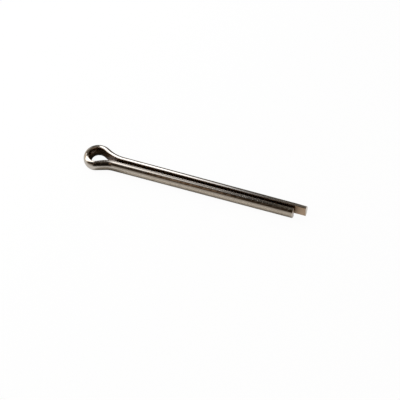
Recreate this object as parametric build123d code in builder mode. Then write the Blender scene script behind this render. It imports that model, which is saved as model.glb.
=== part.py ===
"""Cotter pin: one length of half-round wire, folded back on itself round an open eye.

The pin lies flat, as it would come to rest. The origin is on the shank's axis, at the shoulder where the eye
stops against the edge of the hole. +X runs along the shank to the tips, +Y points to the longer leg, and +Z
is the axis of the eye. Sizes are in millimetres and degrees.
"""
from build123d import *
from math import asin, cos, degrees, radians, sin
import os

# The wire: a half-round section, flat side inward, with its two edges rolled round
wire_width = 2.8
wire_depth = 1.34
wire_edge_radius = 0.14

# The legs, from the shoulder to their sheared ends
leg_length = 40.0
leg_extension = 2.4
neck_gap = 0.75
tip_gap = 0.58
end_edge_radius = 0.09

# The round end of the eye, on the flat side of the wire, and how far its centre is from the origin
eye_end_radius = 1.68
eye_end_half_angle = 53.5
eye_setback = 2.57
eye_offset = 0.13

# The shoulder bends on either side of the eye
near_shoulder_radius = 1.0
far_shoulder_radius = 1.85

# From the shoulder bends the sides run straight in towards the neck, at these slopes to the shank
near_side_slope = 19.3
far_side_slope = 28.5

# The reverse bends of the neck turn the sides back into the legs
near_neck_radius = 5.6
far_neck_radius = 8.0

# The legs toe in a little, so that the gap between them closes from the neck to the tips
toe_in = degrees(asin((neck_gap - tip_gap) / 2 / leg_length))


def straight_length(start_height, slope, neck_radius):
    """Length of a side of the eye whose reverse bend ends half the neck gap away from the shank's axis."""
    bend_height = neck_radius * (cos(radians(toe_in)) - cos(radians(slope)))
    return (start_height - neck_gap / 2 - bend_height) / sin(radians(slope))


def fold_half(start, heading, turn, shoulder_radius, side_slope, neck_radius, tip_x):
    """Shoulder bend, straight side, reverse bend and leg of one half, leaving the round end of the eye.

    turn is 1 where the eye bends to the left as it is followed towards the leg, and -1 where it bends right.
    """
    shoulder = JernArc(start, heading, shoulder_radius, turn * (90 - eye_end_half_angle + side_slope))
    length = straight_length(abs((shoulder @ 1).Y), side_slope, neck_radius)
    side = Line(shoulder @ 1, shoulder @ 1 + (shoulder % 1) * length)
    neck = JernArc(side @ 1, side % 1, neck_radius, -turn * (side_slope - toe_in))
    leg_run = (tip_x - (neck @ 1).X) / cos(radians(toe_in))
    return Line(neck @ 1, neck @ 1 + (neck % 1) * leg_run)


with BuildPart() as cotter_pin:
    # The fold line is the flat side of the wire, from the shorter leg's tip round the eye to the longer one's
    with BuildLine() as fold_line:
        eye_end = CenterArc(
            (-eye_setback, eye_offset), eye_end_radius, 180 - eye_end_half_angle, 2 * eye_end_half_angle
        )
        fold_half(
            eye_end @ 1, eye_end % 1, 1, near_shoulder_radius, near_side_slope, near_neck_radius, leg_length
        )
        far_leg = fold_half(
            eye_end @ 0,
            -(eye_end % 0),
            -1,
            far_shoulder_radius,
            far_side_slope,
            far_neck_radius,
            leg_length + leg_extension,
        )

    # The section stands at the longer leg's tip, with its crown turned away from the other leg
    with BuildSketch(Plane(far_leg @ 1, x_dir=(0, 0, -1), z_dir=far_leg % 1)) as half_round:
        with BuildLine():
            crown = ThreePointArc((-wire_width / 2, 0), (0, wire_depth), (wire_width / 2, 0))
            Line(crown @ 1, crown @ 0)
        make_face()
        fillet(half_round.vertices(), wire_edge_radius)
    sweep(path=fold_line.wires()[0])

    # The wire is sheared square, and the blade leaves the rim of each end a little rounded
    sheared_ends = cotter_pin.faces().filter_by(GeomType.PLANE).sort_by(Axis.X)[-2:]
    fillet(sheared_ends.edges(), end_edge_radius)

cotter_pin.part.label = "cotter_pin"
os.makedirs("parts", exist_ok=True)
export_step(cotter_pin.part, "parts/cotter_pin.step")
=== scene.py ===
# %% [markdown]
# A cotter pin is one length of half-round steel wire, folded back on itself round an open eye. The two
# flat sides meet in the middle, so that the legs together make a round shank that fits a round hole. The
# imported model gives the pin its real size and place. Everything here is drawn in that same frame, in
# metres, with +X along the shank to the tips, +Y to the longer leg and +Z up.

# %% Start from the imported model
from math import asin, cos, degrees, pi, radians, sin, sqrt

import bpy
import bmesh
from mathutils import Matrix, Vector


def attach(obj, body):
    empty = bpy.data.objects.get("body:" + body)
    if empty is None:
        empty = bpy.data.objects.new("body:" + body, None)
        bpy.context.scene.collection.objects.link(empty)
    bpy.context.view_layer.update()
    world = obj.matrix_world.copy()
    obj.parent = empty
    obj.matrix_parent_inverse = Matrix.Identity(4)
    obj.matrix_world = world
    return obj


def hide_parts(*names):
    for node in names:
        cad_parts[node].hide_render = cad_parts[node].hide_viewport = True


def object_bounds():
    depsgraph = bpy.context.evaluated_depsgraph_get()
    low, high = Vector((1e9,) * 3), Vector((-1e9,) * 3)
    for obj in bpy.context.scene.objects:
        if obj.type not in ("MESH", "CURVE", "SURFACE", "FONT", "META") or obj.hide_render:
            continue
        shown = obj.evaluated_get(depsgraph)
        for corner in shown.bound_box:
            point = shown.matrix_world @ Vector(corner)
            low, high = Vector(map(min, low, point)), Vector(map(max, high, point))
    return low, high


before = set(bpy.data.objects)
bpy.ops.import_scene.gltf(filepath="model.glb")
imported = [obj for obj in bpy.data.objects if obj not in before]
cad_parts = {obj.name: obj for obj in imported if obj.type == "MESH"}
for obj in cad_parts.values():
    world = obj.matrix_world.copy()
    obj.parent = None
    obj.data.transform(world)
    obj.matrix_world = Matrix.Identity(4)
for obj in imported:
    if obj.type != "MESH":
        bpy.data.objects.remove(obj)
cad_low, cad_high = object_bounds()
mm = 0.001
print("CAD box in mm:", [round(v / mm, 3) for v in (*cad_low, *cad_high)])

# %% [markdown]
# The wire follows a rule: the round end of the eye, a tight shoulder bend, a straight side, a reverse
# bend at the neck and a straight leg, all tangent to each other. The two halves have bends of different
# sizes, because wire springs back unevenly when it is folded. The sizes repeat those of the solid, so
# that the drawn pin lies where the solid lies.

# %% Sizes of the pin
wire_width = 2.8 * mm
wire_depth = 1.34 * mm
wire_edge_radius = 0.14 * mm
leg_length = 40.0 * mm
leg_extension = 2.4 * mm
neck_gap = 0.75 * mm
tip_gap = 0.58 * mm
end_edge_radius = 0.09 * mm
eye_end_radius = 1.68 * mm
eye_end_half_angle = 53.5
eye_setback = 2.57 * mm
eye_offset = 0.13 * mm
near_bends = {"shoulder": 1.0 * mm, "slope": 19.3, "neck": 5.6 * mm}
far_bends = {"shoulder": 1.85 * mm, "slope": 28.5, "neck": 8.0 * mm}
toe_in = degrees(asin((neck_gap - tip_gap) / 2 / leg_length))
print("legs toe in by", round(toe_in, 3), "degrees each")

# %% [markdown]
# The line could be a list of points read off a drawing, or a Bezier curve bent by hand. Here it is drawn
# as a pen would draw it, by turning and going on, because that keeps every bend a true arc and needs no
# table of points. The pen leaves a point every few hundredths of a millimetre, which Geometry Nodes then
# space evenly.

# %% A pen that bends and runs straight
pen_step = 0.05 * mm


def bend(line, heading, radius, turn):
    """Follow an arc from the last point of line. turn is in degrees, and above zero to the left."""
    side = 1 if turn > 0 else -1
    start = line[-1]
    centre = start + Vector((-sin(heading), cos(heading), 0)) * radius * side
    steps = max(2, round(radius * abs(radians(turn)) / pen_step))
    for step in range(1, steps + 1):
        angle = heading + radians(turn) * step / steps
        line.append(centre + Vector((sin(angle), -cos(angle), 0)) * radius * side)
    return heading + radians(turn)


def run(line, heading, length):
    """Go straight on from the last point of line."""
    steps = max(2, round(length / pen_step))
    start = line[-1]
    for step in range(1, steps + 1):
        line.append(start + Vector((cos(heading), sin(heading), 0)) * length * step / steps)


# %% [markdown]
# Both halves start at the middle of the eye's round end and use the same rule, mirrored. Drawn one after
# the other, from the longer leg's tip round the eye to the shorter one's, they are the flat side of the
# wire.

# %% The fold line
def fold_half(side, bends, tip_x):
    """Half of the fold line, from the middle of the round end to a tip. side is -1 for the shorter leg."""
    line = [Vector((-eye_setback - eye_end_radius, eye_offset, 0))]
    heading = bend(line, side * pi / 2, eye_end_radius, -side * eye_end_half_angle)
    turn = 90 - eye_end_half_angle + bends["slope"]
    heading = bend(line, heading, bends["shoulder"], -side * turn)
    slope, tip_slope = radians(bends["slope"]), radians(toe_in)
    neck_height = neck_gap / 2 + bends["neck"] * (cos(tip_slope) - cos(slope))
    run(line, heading, (abs(line[-1].y) - neck_height) / sin(slope))
    heading = bend(line, heading, bends["neck"], side * (bends["slope"] - toe_in))
    run(line, heading, (tip_x - line[-1].x) / cos(heading))
    return line


def length_of(line):
    """The length of a line of points."""
    return sum((b - a).length for a, b in zip(line, line[1:]))


near_half = fold_half(-1, near_bends, leg_length)
far_half = fold_half(1, far_bends, leg_length + leg_extension)
fold_line = far_half[::-1] + near_half[1:]
eye_middle = length_of(far_half)
fold_length = eye_middle + length_of(near_half)
print("fold line:", len(fold_line), "points,", round(fold_length / mm, 2), "mm of wire")

# %% [markdown]
# The section is a half circle with its two edges rolled round, because the wire is drawn through a
# half-round die. It is worked out from the same three sizes as the solid's section. A point on the flat
# side close to each rolled edge keeps the flat side flat when it is shaded smooth.

# %% The half-round section
crown_steps = 28
edge_steps = 5
flat_steps = 10
flat_margin = 0.02 * mm
crown_radius = ((wire_width / 2) ** 2 + wire_depth**2) / (2 * wire_depth)
crown_x = wire_depth - crown_radius
edge_reach = crown_radius - wire_edge_radius
flat_half_width = sqrt(edge_reach**2 - (wire_edge_radius - crown_x) ** 2)


def half_round_section():
    """The outline of the wire, with x from the flat side to the crown and y across the width."""
    edge_angle = asin((wire_edge_radius - crown_x) / edge_reach)
    points = []
    for step in range(edge_steps + 1):
        angle = -pi + (pi / 2 + edge_angle) * step / edge_steps
        points.append(
            (wire_edge_radius * (1 + cos(angle)), wire_edge_radius * sin(angle) - flat_half_width)
        )
    for step in range(1, crown_steps):
        angle = (pi / 2 - edge_angle) * (2 * step / crown_steps - 1)
        points.append((crown_x + crown_radius * cos(angle), crown_radius * sin(angle)))
    points += [(x, -y) for x, y in points[edge_steps::-1]]
    inner_half = flat_half_width - flat_margin
    points += [(0, inner_half * (1 - 2 * step / flat_steps)) for step in range(flat_steps + 1)]
    return points


section_points = half_round_section()
print("section:", len(section_points), "points")

# %% [markdown]
# Every node tree below, for the shape, the finish and the studio, is written with one small function, so
# that a node reads as its kind, its settings and what goes into it. A Mix node has sockets for each kind
# of data, and those for colours are its inputs 6 and 7 and its output 2.

# %% One function that adds a node
smooth = {"interpolation_type": "SMOOTHSTEP"}
mixed_colour = {"data_type": "RGBA"}


def add_node(tree, kind, settings=None, inputs=None):
    """Add a node, set its properties, and fill or link its inputs, which are given by name or by number."""
    node = tree.nodes.new(kind)
    for name, value in (settings or {}).items():
        setattr(node, name, value)
    for key, value in (inputs or {}).items():
        if isinstance(value, bpy.types.NodeSocket):
            tree.links.new(value, node.inputs[key])
        else:
            node.inputs[key].default_value = value
    return node


# %% [markdown]
# Three things on this wire are strongest at one place and die out on both sides of it: the twist at the
# eye, the swelling of the flat side and a band of fine strokes on the crown. Each of them uses the same
# three nodes.

# %% A value that dies out on both sides of a place


def fading_out(tree, value, middle, reach, full_within=0.0, most=1.0):
    """A number that is most close to the middle and falls to nothing at the reach."""
    offset = add_node(tree, "ShaderNodeMath", {"operation": "SUBTRACT"}, {0: value, 1: middle})
    away = add_node(tree, "ShaderNodeMath", {"operation": "ABSOLUTE"}, {0: offset.outputs[0]})
    fade = add_node(
        tree,
        "ShaderNodeMapRange",
        smooth,
        {"Value": away.outputs[0], "From Min": reach, "From Max": full_within, "To Max": most},
    )
    return fade.outputs[0]


# %% [markdown]
# Geometry Nodes sweep the section along the line. A bevelled curve would be shorter, but the tree keeps
# the ring spacing, the roll and the unevenness as inputs that can be tried out on the modifier, and it
# can hand the place on the wire to the material. First the line becomes evenly spaced rings. On the real
# pin the round end of the eye isn't quite upright: the fold twists the wire, and its upper edge leans
# outwards there. The tree rolls the rings by an angle that is largest at one place and dies out on both
# sides of it.

# %% Rings along the line, rolled at the eye


def rolled_rings(tree, given):
    """Evenly spaced rings along the line, with the distance along it kept as Along."""
    line = add_node(tree, "GeometryNodeMeshToCurve", inputs={"Mesh": given["Geometry"]})
    rings = add_node(
        tree,
        "GeometryNodeResampleCurve",
        {"mode": "LENGTH"},
        {"Curve": line.outputs["Curve"], "Length": given["Ring spacing"]},
    )
    level = add_node(
        tree, "GeometryNodeSetCurveNormal", {"mode": "Z_UP"}, {"Curve": rings.outputs["Curve"]}
    )
    along = add_node(tree, "GeometryNodeSplineParameter")
    roll = fading_out(
        tree,
        along.outputs["Length"],
        given["Roll middle"],
        given["Roll reach"],
        most=given["Roll angle"],
    )
    rolled = add_node(
        tree, "GeometryNodeSetCurveTilt", inputs={"Curve": level.outputs["Curve"], "Tilt": roll}
    )
    kept = add_node(tree, "GeometryNodeCaptureAttribute", {"domain": "POINT"})
    kept.capture_items.new("FLOAT", "Along")
    tree.links.new(rolled.outputs["Curve"], kept.inputs["Geometry"])
    tree.links.new(along.outputs["Length"], kept.inputs["Along"])
    return kept


# %% [markdown]
# Then the section is swept over the rings. Each point remembers where on the wire it lies: the distance
# along it, the depth from the flat side and the place across its width. The finish is made from these
# three, so it follows the wire round the eye, as the marks of a drawing die do.

# %% Sweep the section and mark each point's place


def marked_sweep(tree, rings, section_object):
    """The swept wire and its wire_place attribute, with its three values in metres."""
    section = add_node(tree, "GeometryNodeObjectInfo", inputs={"Object": section_object})
    spot = add_node(tree, "GeometryNodeInputPosition")
    kept = add_node(tree, "GeometryNodeCaptureAttribute", {"domain": "POINT"})
    kept.capture_items.new("VECTOR", "Spot")
    tree.links.new(section.outputs["Geometry"], kept.inputs["Geometry"])
    tree.links.new(spot.outputs["Position"], kept.inputs["Spot"])
    swept = add_node(
        tree,
        "GeometryNodeCurveToMesh",
        inputs={
            "Curve": rings.outputs["Geometry"],
            "Profile Curve": kept.outputs["Geometry"],
            "Fill Caps": True,
        },
    )
    across = add_node(tree, "ShaderNodeSeparateXYZ", inputs={0: kept.outputs["Spot"]})
    place = add_node(
        tree,
        "ShaderNodeCombineXYZ",
        inputs={"X": rings.outputs["Along"], "Y": across.outputs["X"], "Z": across.outputs["Y"]},
    )
    marked = add_node(
        tree,
        "GeometryNodeStoreNamedAttribute",
        {"data_type": "FLOAT_VECTOR", "domain": "POINT"},
        {"Geometry": swept.outputs["Mesh"], "Name": "wire_place", "Value": place.outputs["Vector"]},
    )
    return marked.outputs["Geometry"], place.outputs["Vector"]


# %% [markdown]
# Bending squeezes the inner side of the wire, so its flat side swells into the eye. It swells most in the
# middle of its width and not at all at its edges. A swollen section could be swept too, but the swelling
# would then run on into the legs. The tree moves the flat side instead, over the tight bends only.

# %% The swollen flat side of the eye


def pushed_out(tree, geometry, distance):
    """Move each point along its normal, or against it where the distance is below zero."""
    out = add_node(tree, "GeometryNodeInputNormal")
    shift = add_node(
        tree, "ShaderNodeVectorMath", {"operation": "SCALE"}, {0: out.outputs["Normal"], "Scale": distance}
    )
    moved = add_node(
        tree, "GeometryNodeSetPosition", inputs={"Geometry": geometry, "Offset": shift.outputs["Vector"]}
    )
    return moved.outputs["Geometry"]


def swollen_flat(tree, geometry, place, given):
    """Move the flat side into the eye over its tight bends."""
    parts = add_node(tree, "ShaderNodeSeparateXYZ", inputs={0: place})
    half_reach = add_node(
        tree, "ShaderNodeMath", {"operation": "MULTIPLY"}, {0: given["Bulge reach"], 1: 0.5}
    )
    at_bends = fading_out(
        tree, parts.outputs["X"], given["Bulge middle"], given["Bulge reach"], half_reach.outputs[0]
    )
    across = add_node(
        tree, "ShaderNodeMath", {"operation": "DIVIDE"}, {0: parts.outputs["Z"], 1: flat_half_width}
    )
    squared = add_node(tree, "ShaderNodeMath", {"operation": "POWER"}, {0: across.outputs[0], 1: 2.0})
    swelling = add_node(
        tree,
        "ShaderNodeMath",
        {"operation": "SUBTRACT", "use_clamp": True},
        {0: 1.0, 1: squared.outputs[0]},
    )
    on_flat = add_node(
        tree, "ShaderNodeMath", {"operation": "LESS_THAN"}, {0: parts.outputs["Y"], 1: flat_margin / 2}
    )
    flat_swelling = add_node(
        tree, "ShaderNodeMath", {"operation": "MULTIPLY"}, {0: swelling.outputs[0], 1: on_flat.outputs[0]}
    )
    share = add_node(
        tree,
        "ShaderNodeMath",
        {"operation": "MULTIPLY"},
        {0: flat_swelling.outputs[0], 1: at_bends},
    )
    depth = add_node(
        tree, "ShaderNodeMath", {"operation": "MULTIPLY"}, {0: share.outputs[0], 1: given["Bulge depth"]}
    )
    return pushed_out(tree, geometry, depth.outputs[0])


# %% [markdown]
# Drawn wire is never quite true, and a mirror finish shows it in the edges of what it reflects. Noise
# pushes the skin in by a few thousandths of a millimetre. It only ever goes inwards, so the pin keeps its
# size.

# %% A little unevenness


def uneven_skin(tree, geometry, place, given):
    """Move each point inwards by noise on its place along, into and across the wire."""
    per_length = add_node(
        tree, "ShaderNodeMath", {"operation": "DIVIDE"}, {0: 1.0, 1: given["Wander length"]}
    )
    wander = add_node(
        tree,
        "ShaderNodeTexNoise",
        {"noise_dimensions": "4D"},
        {"Vector": place, "W": given["Seed"], "Scale": per_length.outputs[0], "Detail": 1.0},
    )
    depth = add_node(
        tree,
        "ShaderNodeMath",
        {"operation": "MULTIPLY"},
        {0: wander.outputs[0], 1: given["Wander depth"]},
    )
    inwards = add_node(tree, "ShaderNodeMath", {"operation": "MULTIPLY"}, {0: depth.outputs[0], 1: -1.0})
    return pushed_out(tree, geometry, inwards.outputs[0])


# %% [markdown]
# The whole tree has a named input for each size and a fixed seed. It ends in Realize Instances and Set
# Material, so that nothing in it is left as an instance when the mesh is taken from it.

# %% The swept wire as one tree
tree_inputs = {
    "Geometry": "NodeSocketGeometry",
    "Section": "NodeSocketObject",
    "Ring spacing": "NodeSocketFloat",
    "Roll middle": "NodeSocketFloat",
    "Roll angle": "NodeSocketFloat",
    "Roll reach": "NodeSocketFloat",
    "Bulge depth": "NodeSocketFloat",
    "Bulge middle": "NodeSocketFloat",
    "Bulge reach": "NodeSocketFloat",
    "Wander depth": "NodeSocketFloat",
    "Wander length": "NodeSocketFloat",
    "Seed": "NodeSocketFloat",
    "Material": "NodeSocketMaterial",
}


def swept_wire_tree():
    """Sweep a section along the edges of a mesh and give the result its material."""
    tree = bpy.data.node_groups.new("swept_wire", "GeometryNodeTree")
    tree.interface.new_socket("Geometry", in_out="OUTPUT", socket_type="NodeSocketGeometry")
    for name, kind in tree_inputs.items():
        tree.interface.new_socket(name, in_out="INPUT", socket_type=kind)
    given = add_node(tree, "NodeGroupInput").outputs
    rings = rolled_rings(tree, given)
    geometry, place = marked_sweep(tree, rings, given["Section"])
    swollen = swollen_flat(tree, geometry, place, given)
    moved = uneven_skin(tree, swollen, place, given)
    real = add_node(tree, "GeometryNodeRealizeInstances", inputs={"Geometry": moved})
    finished = add_node(
        tree,
        "GeometryNodeSetMaterial",
        inputs={"Geometry": real.outputs["Geometry"], "Material": given["Material"]},
    )
    add_node(tree, "NodeGroupOutput", inputs={"Geometry": finished.outputs["Geometry"]})
    return tree


wire_tree = swept_wire_tree()
print("swept wire:", len(wire_tree.nodes), "nodes")

# %% [markdown]
# Colours are chosen as sRGB hex values, as a colour picker shows them, but nodes work in linear light.
# One function turns the first into the second.

# %% Colours


def linear(hex_colour):
    """The linear colour, with alpha, of an sRGB hex value."""
    shares = [int(hex_colour[i : i + 2], 16) / 255 for i in (1, 3, 5)]
    return tuple(s / 12.92 if s <= 0.04045 else ((s + 0.055) / 1.055) ** 2.4 for s in shares) + (1.0,)


def fill_ramp(node, stops):
    """Give a colour ramp its stops, a dictionary of places from 0 to 1 and sRGB hex colours."""
    elements = node.color_ramp.elements
    while len(elements) < len(stops):
        elements.new(0.5)
    for element, (place, hex_colour) in zip(elements, stops.items()):
        element.position = place
        element.color = linear(hex_colour)


# %% [markdown]
# The finish is bright drawn mild steel. Every mark on it comes from how the wire was made: the die draws
# fine lines along it, and the rolls of the folding machine leave slanted chatter and a few scratches
# across it. All of these are noise, stretched and turned on the wire's own place. Real draw lines are a
# few hundredths of a millimetre wide, too fine to show in the picture, so they are drawn about five times
# as coarse.

# %% Marks that follow the wire
draw_line_size = (8.0 * mm, 0.2 * mm, 0.2 * mm)
scratch_size = (2.0 * mm, 1.0 * mm, 0.06 * mm)
scratch_slant = radians(75)
scratch_share = (0.66, 0.74)


def wire_noise(tree, place, sizes, slant=0.0, detail=2.0):
    """Noise whose grains have the given sizes along, into and across the wire, turned on its surface."""
    fitted = add_node(
        tree,
        "ShaderNodeMapping",
        {"vector_type": "TEXTURE"},
        {"Vector": place, "Rotation": (0.0, slant, 0.0), "Scale": sizes},
    )
    noise = add_node(
        tree,
        "ShaderNodeTexNoise",
        inputs={"Vector": fitted.outputs["Vector"], "Scale": 1.0, "Detail": detail},
    )
    return noise.outputs[0]


def scratch_marks(tree, place):
    """Shares from 0 to 1 of fine scratches across the wire, where their noise is highest."""
    scratches = add_node(
        tree,
        "ShaderNodeMapRange",
        smooth,
        {
            "Value": wire_noise(tree, place, scratch_size, scratch_slant),
            "From Min": scratch_share[0],
            "From Max": scratch_share[1],
        },
    )
    return scratches.outputs[0]


# %% [markdown]
# The crown has been polished by the die and by handling. The flat side is hidden in the fold and dulls a
# little, and it is coloured darker and browner as painted shade between the legs and inside the eye. The
# longer leg has lost its shine in small patches towards its tip, and the sheared ends are torn bare metal,
# lighter and rougher than the rest. Masks made from the place on the wire say which is which.

# %% Where each finish lies
mottle_size = (0.7 * mm, 0.4 * mm, 0.4 * mm)
mottled_from = 20.0 * mm
mottled_until = 13.0 * mm
skin = 0.02 * mm
torn_until = 3 * skin


def finish_masks(tree, place):
    """Shares from 0 to 1 of the polished crown, the mottling of the longer leg and the sheared ends."""
    parts = add_node(tree, "ShaderNodeSeparateXYZ", inputs={0: place})
    crown = add_node(
        tree,
        "ShaderNodeMapRange",
        smooth,
        {"Value": parts.outputs["Y"], "From Min": skin, "From Max": wire_edge_radius},
    )
    dulled = add_node(
        tree,
        "ShaderNodeMapRange",
        smooth,
        {"Value": parts.outputs["X"], "From Min": mottled_from, "From Max": mottled_until},
    )
    mottled = add_node(
        tree,
        "ShaderNodeMath",
        {"operation": "MULTIPLY"},
        {0: wire_noise(tree, place, mottle_size), 1: dulled.outputs[0]},
    )
    to_other_end = add_node(
        tree, "ShaderNodeMath", {"operation": "SUBTRACT"}, {0: fold_length, 1: parts.outputs["X"]}
    )
    to_an_end = add_node(
        tree,
        "ShaderNodeMath",
        {"operation": "MINIMUM"},
        {0: parts.outputs["X"], 1: to_other_end.outputs[0]},
    )
    sheared = add_node(
        tree,
        "ShaderNodeMapRange",
        smooth,
        {"Value": to_an_end.outputs[0], "From Min": torn_until, "From Max": skin},
    )
    return {"crown": crown.outputs[0], "mottled": mottled.outputs[0], "sheared": sheared.outputs[0]}


# %% [markdown]
# The chatter of the rolls lies in short slanted strokes, in patches along a band halfway up each side of
# the crown. It is made once, because both the colour and the relief use it: the strokes are coloured
# darker, as painted shade.

# %% Slanted chatter
chatter_size = (1.8 * mm, 8.0 * mm, 0.22 * mm)
chatter_slant = radians(16)
stroke_share = (0.44, 0.58)
patch_size = (2.6 * mm, 2.6 * mm, 2.6 * mm)
patch_share = (0.35, 0.5)
band_depth = 0.75 * mm
band_half_width = 0.32 * mm


def roll_chatter(tree, place):
    """Shares from 0 to 1 of slanted strokes, in patches along a band on each side of the crown."""
    parts = add_node(tree, "ShaderNodeSeparateXYZ", inputs={0: place})
    in_band = fading_out(
        tree, parts.outputs["Y"], band_depth, band_half_width, full_within=band_half_width / 2
    )
    patches = add_node(
        tree,
        "ShaderNodeMapRange",
        smooth,
        {
            "Value": wire_noise(tree, place, patch_size, detail=1.0),
            "From Min": patch_share[0],
            "From Max": patch_share[1],
            "To Max": in_band,
        },
    )
    strokes = add_node(
        tree,
        "ShaderNodeMapRange",
        smooth,
        {
            "Value": wire_noise(tree, place, chatter_size, chatter_slant, detail=1.0),
            "From Min": stroke_share[0],
            "From Max": stroke_share[1],
            "To Max": patches.outputs[0],
        },
    )
    return strokes.outputs[0]


# %% [markdown]
# Then the colour: a metal's colour is the colour of its reflections. Clean steel is a light warm grey,
# and slow stains shift it a little.

# %% Colour of the steel
stain_size = (4.0 * mm, 4.0 * mm, 4.0 * mm)
crown_tones = ("#CBC5BD", "#B8B0A7")
mottle_tone = "#A39D95"
# The strokes' darker tone is painted shade.
stroke_shade_tone = "#8C7A64"
# The flat side's darker, browner tones are painted shade between the legs and inside the eye.
flat_shade_tones = ("#B39B83", "#8F7962")
sheared_tone = "#D8D1C8"


def steel_colour(tree, place, marks):
    """The colour of the crown, the flat side, the mottled stretch and the sheared ends, with painted shade
    on the flat side and in the strokes.
    """
    stain = wire_noise(tree, place, stain_size, detail=3.0)
    # The flat side's tones are painted shade in the fold.
    clean_crown, shaded_flat = (
        add_node(tree, "ShaderNodeMix", mixed_colour, {0: stain, 6: linear(light), 7: linear(dark)})
        for light, dark in (crown_tones, flat_shade_tones)
    )
    # Painted shade in the chatter strokes.
    stroke_shaded = add_node(
        tree,
        "ShaderNodeMix",
        mixed_colour,
        {0: marks["chatter"], 6: clean_crown.outputs[2], 7: linear(stroke_shade_tone)},
    )
    mottled = add_node(
        tree,
        "ShaderNodeMix",
        mixed_colour,
        {0: marks["mottled"], 6: stroke_shaded.outputs[2], 7: linear(mottle_tone)},
    )
    both_sides = add_node(
        tree,
        "ShaderNodeMix",
        mixed_colour,
        {0: marks["crown"], 6: shaded_flat.outputs[2], 7: mottled.outputs[2]},
    )
    ends = add_node(
        tree,
        "ShaderNodeMix",
        mixed_colour,
        {0: marks["sheared"], 6: both_sides.outputs[2], 7: linear(sheared_tone)},
    )
    return ends.outputs[2]


# %% [markdown]
# Roughness says how blurred the mirror is. The polished crown is nearly a clear one, which its draw lines
# blur by changing amounts. The flat side is duller, and the torn ends are dullest.

# %% Roughness of the steel
crown_roughness = (0.05, 0.15)
mottle_roughness = 0.12
scratch_roughness = 0.2
flat_roughness = 0.16
sheared_roughness = 0.42


def steel_roughness(tree, marks):
    """The roughness of the crown, the flat side, the mottled stretch and the sheared ends."""
    drawn = add_node(
        tree,
        "ShaderNodeMapRange",
        inputs={"Value": marks["lines"], "To Min": crown_roughness[0], "To Max": crown_roughness[1]},
    )
    mottled = add_node(
        tree,
        "ShaderNodeMath",
        {"operation": "MULTIPLY_ADD"},
        {0: marks["mottled"], 1: mottle_roughness, 2: drawn.outputs[0]},
    )
    scratched = add_node(
        tree,
        "ShaderNodeMath",
        {"operation": "MULTIPLY_ADD"},
        {0: marks["scratches"], 1: scratch_roughness, 2: mottled.outputs[0]},
    )
    both_sides = add_node(
        tree,
        "ShaderNodeMapRange",
        inputs={"Value": marks["crown"], "To Min": flat_roughness, "To Max": scratched.outputs[0]},
    )
    ends = add_node(
        tree,
        "ShaderNodeMapRange",
        inputs={"Value": marks["sheared"], "To Min": both_sides.outputs[0], "To Max": sheared_roughness},
    )
    return ends.outputs[0]


# %% [markdown]
# The marks are a few thousandths of a millimetre deep. That is far too shallow to be drawn as shapes, but
# enough to bend the reflections, so they go in as bump.

# %% Relief of the steel
draw_line_depth = 0.0016 * mm
chatter_depth = 0.0035 * mm
scratch_depth = 0.003 * mm
torn_depth = 0.008 * mm
torn_size = (0.15 * mm, 0.15 * mm, 0.15 * mm)


def steel_relief(tree, place, marks):
    """The bent normals of draw lines, chatter, scratches and torn ends, one on top of another."""
    torn = wire_noise(tree, place, torn_size)
    normal = None
    for height, depth, share in (
        (marks["lines"], draw_line_depth, marks["crown"]),
        (marks["chatter"], chatter_depth, 1.0),
        (marks["scratches"], scratch_depth, marks["crown"]),
        (torn, torn_depth, marks["sheared"]),
    ):
        links = {"Height": height, "Distance": depth, "Strength": share}
        if normal:
            links["Normal"] = normal
        normal = add_node(tree, "ShaderNodeBump", inputs=links).outputs["Normal"]
    return normal


# %% [markdown]
# The parts come together in one metal, on a node that takes its colour, roughness and relief. It keeps
# the default index of refraction, because a metal's colour already says how much it reflects.

# %% Bright drawn steel


def bright_drawn_steel():
    """Cold-drawn mild steel: bright and slightly warm, with draw lines, chatter and fine scratches."""
    steel = bpy.data.materials.new("bright_drawn_steel")
    steel.use_nodes = True
    tree = steel.node_tree
    tree.nodes.clear()
    place = add_node(tree, "ShaderNodeAttribute", {"attribute_name": "wire_place"}).outputs["Vector"]
    marks = finish_masks(tree, place)
    marks["lines"] = wire_noise(tree, place, draw_line_size, detail=3.0)
    marks["scratches"] = scratch_marks(tree, place)
    marks["chatter"] = roll_chatter(tree, place)
    surface = add_node(
        tree,
        "ShaderNodeBsdfPrincipled",
        inputs={
            "Base Color": steel_colour(tree, place, marks),
            "Metallic": 1.0,
            "Roughness": steel_roughness(tree, marks),
            "Normal": steel_relief(tree, place, marks),
        },
    )
    add_node(tree, "ShaderNodeOutputMaterial", inputs={"Surface": surface.outputs["BSDF"]})
    return steel


steel = bright_drawn_steel()
print("bright drawn steel:", len(steel.node_tree.nodes), "nodes")

# %% [markdown]
# Now the wire is made. The line becomes a mesh of edges that carries the modifier, and the section
# becomes a closed curve that the tree reads. Each input is set through its socket's identifier, because
# names can repeat.

# %% The line, the section and the tree's inputs
section_curve = bpy.data.curves.new("half_round_section", "CURVE")
outline = section_curve.splines.new("POLY")
outline.points.add(len(section_points) - 1)
for point, (x, y) in zip(outline.points, section_points):
    point.co = (x, y, 0, 1)
outline.use_cyclic_u = True
section_object = bpy.data.objects.new("half_round_section", section_curve)
bpy.context.scene.collection.objects.link(section_object)

guide_mesh = bpy.data.meshes.new("fold_line")
guide_mesh.from_pydata(fold_line, [(i, i + 1) for i in range(len(fold_line) - 1)], [])
guide = bpy.data.objects.new("fold_line", guide_mesh)
bpy.context.scene.collection.objects.link(guide)

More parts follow.
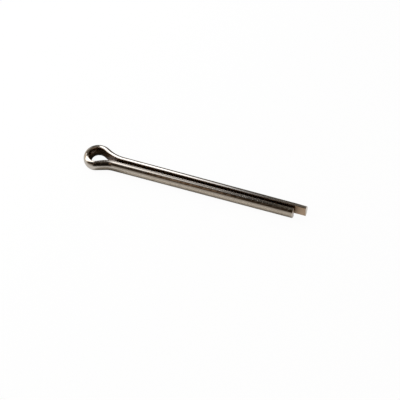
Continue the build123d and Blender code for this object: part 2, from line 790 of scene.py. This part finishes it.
sweep = guide.modifiers.new("swept wire", "NODES")
sweep.node_group = wire_tree
wire_inputs = {
    "Section": section_object,
    "Ring spacing": 0.07 * mm,
    "Roll middle": eye_middle + 0.8 * mm,
    "Roll angle": radians(14.0),
    "Roll reach": 3.9 * mm,
    "Bulge depth": 0.2 * mm,
    "Bulge middle": eye_middle,
    "Bulge reach": 6.0 * mm,
    "Wander depth": 0.006 * mm,
    "Wander length": 3.0 * mm,
    "Seed": 7.0,
    "Material": steel,
}
for item in wire_tree.interface.items_tree:
    if item.name in wire_inputs:
        sweep[item.identifier] = wire_inputs[item.name]

# %% [markdown]
# A blade shears the wire square and leaves the rim of each end a little rounded. A Bevel modifier on the
# sharp rims does the same. Only the rims are sharper than sixty degrees, so nothing else is touched.

# %% Rounded rims on the sheared ends
rim_segments = 4
sharp_angle = radians(60)
rim = guide.modifiers.new("sheared ends", "BEVEL")
rim.width = end_edge_radius
rim.segments = rim_segments
rim.limit_method = "ANGLE"
rim.angle_limit = sharp_angle

# %% [markdown]
# The evaluated object is kept as a plain mesh, and the line and the section are thrown away. A narrow
# ring inside each sheared end keeps the end flat when it is shaded smooth. The wire then takes the place
# of the solid in the frame.

# %% The wire as a plain mesh
depsgraph = bpy.context.evaluated_depsgraph_get()
wire_mesh = bpy.data.meshes.new_from_object(
    guide.evaluated_get(depsgraph), preserve_all_data_layers=True, depsgraph=depsgraph
)
wire_mesh.name = "folded_wire"
bpy.data.objects.remove(guide)
bpy.data.objects.remove(section_object)

shaping = bmesh.new()
shaping.from_mesh(wire_mesh)
sheared_faces = [face for face in shaping.faces if len(face.verts) > 4]
bmesh.ops.inset_individual(shaping, faces=sheared_faces, thickness=flat_margin)
bmesh.ops.recalc_face_normals(shaping, faces=shaping.faces)
volume = shaping.calc_volume(signed=True)
shaping.to_mesh(wire_mesh)
shaping.free()
wire_mesh.shade_smooth()

wire = bpy.data.objects.new("folded_wire", wire_mesh)
bpy.context.scene.collection.objects.link(wire)
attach(wire, "root")
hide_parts("cotter_pin")
print("wire:", len(wire_mesh.polygons), "faces,", round(volume / mm**3, 2), "cubic mm")

# %% [markdown]
# Polished wire shows nothing but its surroundings, so the studio is half of its looks. It is what a
# product photographer would set up: a pale floor, soft lit cards, and dark where nothing stands. Lamps
# would light it too, but metal shows the shape of what lights it, and a card can have edges that fade as
# a soft box's do. The cards are stage pieces that the camera doesn't see.

# %% Cards for the studio


def stage_quad(name, corners, material):
    """A flat card through four corners in mm, in their order round it, with its own UV map."""
    mesh = bpy.data.meshes.new(name)
    mesh.from_pydata([Vector(corner) * mm for corner in corners], [], [(0, 1, 2, 3)])
    card_map = mesh.uv_layers.new(name="card").data
    for loop, place in zip(card_map, ((0, 0), (1, 0), (1, 1), (0, 1))):
        loop.uv = place
    mesh.materials.append(material)
    card = bpy.data.objects.new(name, mesh)
    bpy.context.scene.collection.objects.link(card)
    return card


def lit_card(name, low_edge, high_edge, colour, strength, side_fades, low_fade=0.0, high_fade=0.0):
    """A glowing card between a low and a high edge in mm, which fades out over shares of its size.

    side_fades are the shares at the first and at the second end of the two edges.
    """
    material = bpy.data.materials.new(name)
    material.use_nodes = True
    tree = material.node_tree
    tree.nodes.clear()
    place = add_node(tree, "ShaderNodeTexCoord")
    across = add_node(tree, "ShaderNodeSeparateXYZ", inputs={0: place.outputs["UV"]})
    level = strength
    for axis, (first_fade, last_fade) in zip("XY", (side_fades, (low_fade, high_fade))):
        for edge, inner in ((0.0, first_fade), (1.0, 1.0 - last_fade)):
            if inner == edge:
                continue
            fade = add_node(
                tree,
                "ShaderNodeMapRange",
                smooth,
                {"Value": across.outputs[axis], "From Min": edge, "From Max": inner},
            )
            level = add_node(
                tree, "ShaderNodeMath", {"operation": "MULTIPLY"}, {0: fade.outputs[0], 1: level}
            ).outputs[0]
    glow = add_node(tree, "ShaderNodeEmission", inputs={"Color": linear(colour), "Strength": level})
    add_node(tree, "ShaderNodeOutputMaterial", inputs={"Surface": glow.outputs[0]})
    card = stage_quad(name, (*low_edge, *reversed(high_edge)), material)
    card.visible_camera = False
    card.visible_shadow = False
    return card


# %% [markdown]
# The floor is white to the camera and keeps a soft shadow. The metal sees it as a photographer's table,
# with painted light and shade: a pale board in front, painted shade under and behind the pin, and painted
# light past the eye and past the tips. Light Path keeps those tones from the camera. They change from
# front to back, and painted shade makes the board darker in front of the eye than in front of the legs.

# %% Tones of the floor round the pin
floor_reach = 6.0 * mm
# The first board tone, darker in front of the eye, is painted shade.
board_and_shade_tones = ("#ADA79E", "#E8E3DA")
board_change = (1.0 * mm, 5.0 * mm)
# Painted shade under and behind the pin.
shade_tones = {0.0: "#FFFFFF", 0.125: "#FFFFFF", 0.32: "#C3C3C3", 0.5: "#A8A8A8", 0.75: "#898989"}
# Painted light past the eye and past the tips.
lit_tones = {0.2: "#C2C1BA", 0.5: "#DEDCD8", 0.7: "#FFFFFF"}
light_slant = 0.65
lit_past_eye = (-3.5 * mm, -6.0 * mm)
lit_past_tips = (leg_length - 1.0 * mm, leg_length + 1.5 * mm)


def floor_tones(tree, spot):
    """The painted tone of the floor, and the share of it with painted light, past the eye or past the tips.
    """
    parts = add_node(tree, "ShaderNodeSeparateXYZ", inputs={0: spot})
    back = add_node(
        tree,
        "ShaderNodeMapRange",
        inputs={"Value": parts.outputs["Y"], "From Min": -floor_reach, "From Max": floor_reach},
    )
    ahead = add_node(
        tree,
        "ShaderNodeMapRange",
        smooth,
        {"Value": parts.outputs["X"], "From Min": board_change[0], "From Max": board_change[1]},
    )
    board = add_node(
        tree,
        "ShaderNodeMix",
        mixed_colour,
        {0: ahead.outputs[0], 6: linear(board_and_shade_tones[0]), 7: linear(board_and_shade_tones[1])},
    )
    shade = add_node(tree, "ShaderNodeValToRGB", inputs={0: back.outputs[0]})
    fill_ramp(shade, shade_tones)
    shaded = add_node(
        tree,
        "ShaderNodeMix",
        {**mixed_colour, "blend_type": "MULTIPLY"},
        {0: 1.0, 6: board.outputs[2], 7: shade.outputs[0]},
    )
    bright = add_node(tree, "ShaderNodeValToRGB", inputs={0: back.outputs[0]})
    fill_ramp(bright, lit_tones)
    slanted = add_node(
        tree,
        "ShaderNodeMath",
        {"operation": "MULTIPLY_ADD"},
        {0: parts.outputs["Y"], 1: light_slant, 2: parts.outputs["X"]},
    )
    past_eye = add_node(
        tree,
        "ShaderNodeMapRange",
        smooth,
        {"Value": slanted.outputs[0], "From Min": lit_past_eye[0], "From Max": lit_past_eye[1]},
    )
    past_tips = add_node(
        tree,
        "ShaderNodeMapRange",
        smooth,
        {"Value": parts.outputs["X"], "From Min": lit_past_tips[0], "From Max": lit_past_tips[1]},
    )
    lit = add_node(
        tree,
        "ShaderNodeMath",
        {"operation": "MAXIMUM"},
        {0: past_eye.outputs[0], 1: past_tips.outputs[0]},
    )
    open_floor = add_node(
        tree,
        "ShaderNodeMix",
        mixed_colour,
        {0: lit.outputs[0], 6: shaded.outputs[2], 7: bright.outputs[0]},
    )
    return open_floor.outputs[2], lit.outputs[0]


# %% [markdown]
# Under the eye the floor has painted shade on the left, where the wire itself shades it, and painted cool
# light on the right, where the card behind lights it. An ellipse about the size of the opening marks it
# off.

# %% The floor under the eye
opening_middle = (-1.4 * mm, 0.3 * mm, 0.0)
opening_half = (2.6 * mm, 1.6 * mm, 1.0)
opening_fade = (1.1, 0.85)
# Painted shade on the left of the opening, painted cool light on its right.
eye_shade_and_light_tones = {0.2: "#554C44", 0.45: "#786C61", 0.6: "#B4BAC8", 1.0: "#BCC4D6"}


def floor_under_eye(tree, spot, open_floor):
    """The tone of the floor, with the painted shade and light under the opening of the eye laid over it."""
    centred = add_node(
        tree,
        "ShaderNodeMapping",
        {"vector_type": "TEXTURE"},
        {"Vector": spot, "Location": opening_middle, "Scale": opening_half},
    )
    from_middle = add_node(
        tree, "ShaderNodeVectorMath", {"operation": "LENGTH"}, {0: centred.outputs["Vector"]}
    )
    inside = add_node(
        tree,
        "ShaderNodeMapRange",
        smooth,
        {
            "Value": from_middle.outputs["Value"],
            "From Min": opening_fade[0],
            "From Max": opening_fade[1],
        },
    )
    parts = add_node(tree, "ShaderNodeSeparateXYZ", inputs={0: centred.outputs["Vector"]})
    along = add_node(
        tree,
        "ShaderNodeMapRange",
        inputs={"Value": parts.outputs["X"], "From Min": -1.0, "From Max": 1.0},
    )
    tones = add_node(tree, "ShaderNodeValToRGB", inputs={0: along.outputs[0]})
    fill_ramp(tones, eye_shade_and_light_tones)
    whole_floor = add_node(
        tree, "ShaderNodeMix", mixed_colour, {0: inside.outputs[0], 6: open_floor, 7: tones.outputs[0]}
    )
    return whole_floor.outputs[2]


# %% [markdown]
# The floor's shader has two parts. One is a matt board, which keeps the shadow. The other is plain white
# at a strength of 1, for most of what the camera sees and for a share of what the metal sees where light
# is painted on the floor.

# %% The pale floor
white_for_camera = 0.95
# A share of plain white in the metal where light is painted on the floor.
white_where_lit = 0.7
floor_half = 1500


def pale_floor():
    """A matt white floor whose painted shade and light tones show in the metal alone."""
    material = bpy.data.materials.new("pale_floor")
    material.use_nodes = True
    tree = material.node_tree
    tree.nodes.clear()
    rays = add_node(tree, "ShaderNodeLightPath")
    spot = add_node(tree, "ShaderNodeTexCoord").outputs["Object"]
    open_floor, lit = floor_tones(tree, spot)
    toned = floor_under_eye(tree, spot, open_floor)
    board = add_node(
        tree,
        "ShaderNodeMix",
        mixed_colour,
        {0: rays.outputs["Is Camera Ray"], 6: toned, 7: linear("#FFFFFF")},
    )
    matt = add_node(tree, "ShaderNodeBsdfDiffuse", inputs={"Color": board.outputs[2]})
    white = add_node(tree, "ShaderNodeEmission", inputs={"Strength": 1.0})
    in_metal = add_node(
        tree, "ShaderNodeMath", {"operation": "MULTIPLY"}, {0: rays.outputs["Is Glossy Ray"], 1: lit}
    )
    glow_in_metal = add_node(
        tree, "ShaderNodeMath", {"operation": "MULTIPLY"}, {0: in_metal.outputs[0], 1: white_where_lit}
    )
    share = add_node(
        tree,
        "ShaderNodeMath",
        {"operation": "MULTIPLY_ADD"},
        {0: rays.outputs["Is Camera Ray"], 1: white_for_camera, 2: glow_in_metal.outputs[0]},
    )
    floor = add_node(
        tree, "ShaderNodeMixShader", inputs={0: share.outputs[0], 1: matt.outputs[0], 2: white.outputs[0]}
    )
    add_node(tree, "ShaderNodeOutputMaterial", inputs={"Surface": floor.outputs[0]})
    return material


floor_level = cad_low.z / mm
floor_corners = [
    (x * floor_half, y * floor_half, floor_level) for x, y in ((-1, -1), (1, -1), (1, 1), (-1, 1))
]
stage_quad("floor", floor_corners, pale_floor())
print("floor at", round(floor_level, 3), "mm")

# %% [markdown]
# The main light is a soft strip that stands far to the left and leans over the pin until it is nearly
# above it. It is the broad highlight on the eye and the bright line on the shorter leg, and it fades out
# before the tips. A low window on the same side lights the rim of the eye.

# %% Light from the left
lit_card(
    "strip_light",
    low_edge=((-200, -95, 0), (-200, 45, 0)),
    high_edge=((5, -70, 200), (5, 36, 200)),
    colour="#FFFFFF",
    strength=3.1,
    side_fades=(0.5, 0.15),
    high_fade=0.28,
)
lit_card(
    "low_window",
    low_edge=((-198, -12, 0), (-198, 112, 0)),
    high_edge=((-198, -12, 62), (-198, 112, 62)),
    colour="#FFFFFF",
    strength=2.2,
    side_fades=(0.1, 0.15),
    high_fade=0.2,
)

# %% [markdown]
# The card behind is the bright line on the longer leg. It is tall and narrow, rises to the right along
# its lower edge and fades out to the right, so that the line breaks up towards the tips.

# %% Light from behind
lit_card(
    "back_card",
    low_edge=((-26, 80, -12), (22, 80, 22)),
    high_edge=((-26, 80, 106), (22, 80, 106)),
    colour="#F6F9FF",
    strength=2.8,
    side_fades=(0.04, 0.6),
    low_fade=0.12,
    high_fade=0.04,
)

# %% [markdown]
# Two weaker cards stand in front. A tan one is the warm streak in the dark side of the shorter leg. A
# pale one on the right touches the inner rim of the eye and the rims of the tips with light.

# %% Light from the front
lit_card(
    "tan_card",
    low_edge=((-21, -123, 86), (6, -123, 86)),
    high_edge=((-21, -56, 139), (6, -56, 139)),
    colour="#D9B99C",
    strength=0.42,
    side_fades=(0.38, 0.38),
    low_fade=0.15,
    high_fade=0.15,
)
lit_card(
    "right_card",
    low_edge=((106, -226, 0), (250, -44, 0)),
    high_edge=((106, -226, 250), (250, -44, 250)),
    colour="#F3E4DA",
    strength=1.0,
    side_fades=(0.15, 0.15),
    high_fade=0.3,
)

# %% [markdown]
# The room is the rest of what the metal sees. Its tones follow an arch from the horizon behind, over the
# top, to the horizon in front. Views to the right, past the legs, have a darker arch of their own, which
# the near side of the eye shows. The camera sees plain white, and whatever is matt gets one soft level
# from all round.

# %% The room
room_over_legs = {
    0.0: "#7E7A73",
    0.2: "#7C766E",
    0.36: "#59544C",
    0.5: "#6F695F",
    0.72: "#3F352C",
    0.83: "#453C34",
    0.9: "#BCB5AD",
    1.0: "#C8C4BD",
}
room_past_legs = {
    0.0: "#7E7A73",
    0.5: "#6F695F",
    0.56: "#59524B",
    0.64: "#3F3830",
    0.72: "#1E1915",
    0.89: "#161210",
    0.94: "#69655F",
    1.0: "#8B867E",
}
past_legs_from, past_legs_to = -0.14, -0.04
soft_tone, soft_level = "#FFFDF9", 0.55


def room_world():
    """A world whose reflections follow two arches and whose background is white."""
    world = bpy.data.worlds.new("studio_room")
    world.use_nodes = True
    air = world.node_tree
    air.nodes.clear()
    toward = add_node(air, "ShaderNodeTexCoord")
    parts = add_node(air, "ShaderNodeSeparateXYZ", inputs={0: toward.outputs["Generated"]})
    arch = add_node(
        air, "ShaderNodeMath", {"operation": "ARCTAN2"}, {0: parts.outputs["Z"], 1: parts.outputs["Y"]}
    )
    share = add_node(air, "ShaderNodeMath", {"operation": "DIVIDE"}, {0: arch.outputs[0], 1: pi})
    over_legs = add_node(air, "ShaderNodeValToRGB", inputs={0: share.outputs[0]})
    fill_ramp(over_legs, room_over_legs)
    past_legs = add_node(air, "ShaderNodeValToRGB", inputs={0: share.outputs[0]})
    fill_ramp(past_legs, room_past_legs)
    to_right = add_node(
        air,
        "ShaderNodeMapRange",
        smooth,
        {"Value": parts.outputs["X"], "From Min": past_legs_from, "From Max": past_legs_to},
    )
    seen_in_metal = add_node(
        air,
        "ShaderNodeMix",
        mixed_colour,
        {0: to_right.outputs[0], 6: over_legs.outputs[0], 7: past_legs.outputs[0]},
    )
    room, soft, white = (
        add_node(air, "ShaderNodeBackground", inputs={"Color": colour, "Strength": level}).outputs[0]
        for colour, level in (
            (seen_in_metal.outputs[2], 1.0),
            (linear(soft_tone), soft_level),
            (linear("#FFFFFF"), 1.0),
        )
    )
    rays = add_node(air, "ShaderNodeLightPath")
    lighting = add_node(
        air, "ShaderNodeMixShader", inputs={0: rays.outputs["Is Diffuse Ray"], 1: room, 2: soft}
    )
    seen = add_node(
        air,
        "ShaderNodeMixShader",
        inputs={0: rays.outputs["Is Camera Ray"], 1: lighting.outputs[0], 2: white},
    )
    add_node(air, "ShaderNodeOutputWorld", inputs={"Surface": seen.outputs[0]})
    return world


bpy.context.scene.world = room_world()
bpy.context.scene.view_settings.view_transform = "Standard"

# %% [markdown]
# The photograph looks down on the pin at about 55 degrees, from a little to the right, and that turn
# makes the pin run down to the right. A long lens far away keeps the legs parallel. Its focal length
# comes from how much of the table the picture covers.

# %% Camera
picture_pixels = 400
pixels_per_mm = 4.857
camera_turn = radians(17.876)
camera_height = radians(55.5)
camera_distance = 1.03
aim = Vector((20.74, -3.40, 0)) * mm
picture_width = picture_pixels / pixels_per_mm * mm
sensor_width = 36.0
near_clip, far_clip = 0.1, 10.0

camera_data = bpy.data.cameras.new("camera")
camera_data.sensor_width = sensor_width
camera_data.lens = sensor_width * camera_distance / picture_width
camera_data.clip_start = near_clip
camera_data.clip_end = far_clip
camera = bpy.data.objects.new("camera", camera_data)
bpy.context.scene.collection.objects.link(camera)
flat_reach = cos(camera_height)
back = Vector((sin(camera_turn) * flat_reach, -cos(camera_turn) * flat_reach, sin(camera_height)))
camera.location = aim + back * camera_distance
camera.rotation_euler = back.to_track_quat("Z", "Y").to_euler()
bpy.context.scene.camera = camera
print("lens:", round(camera_data.lens, 1), "mm")
